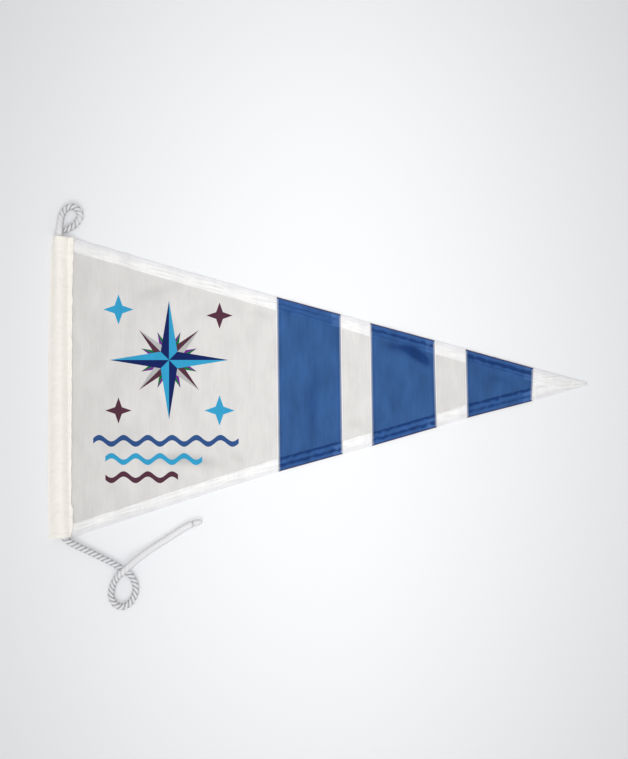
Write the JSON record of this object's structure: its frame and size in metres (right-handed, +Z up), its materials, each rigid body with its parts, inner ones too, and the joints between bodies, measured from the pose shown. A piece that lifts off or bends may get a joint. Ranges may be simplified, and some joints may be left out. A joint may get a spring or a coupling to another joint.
{
  "type": "nautical pennant",
  "caption": "Triangular boat pennant of sewn white and blue bands with hemmed edges, a canvas heading and a laid rope with an eye above and a loose tail below.",
  "frame": {"origin": "middle of the cloth and heading's box, on the surface that the pennant lies on", "axes": "+X from the heading to the tip, +Y towards the top edge with the rope's eye, +Z up out of the face"},
  "size_m": [0.534, 0.4023, 0.0146],
  "materials": {
    "white_bunting": "matte knitted polyester flag cloth, slightly sheer",
    "blue_bunting": "matte knitted polyester flag cloth",
    "canvas": "matte cotton canvas, off-white",
    "rope": "satin laid polyester rope, white"
  },
  "bodies": {
    "root": {"hoist_panel": "white_bunting", "blue_band_1": "blue_bunting", "white_band_1": "white_bunting", "blue_band_2": "blue_bunting", "white_band_2": "white_bunting", "blue_band_3": "blue_bunting", "white_tip": "white_bunting", "heading": "canvas", "rope": "rope"}
  },
  "joints": []
}
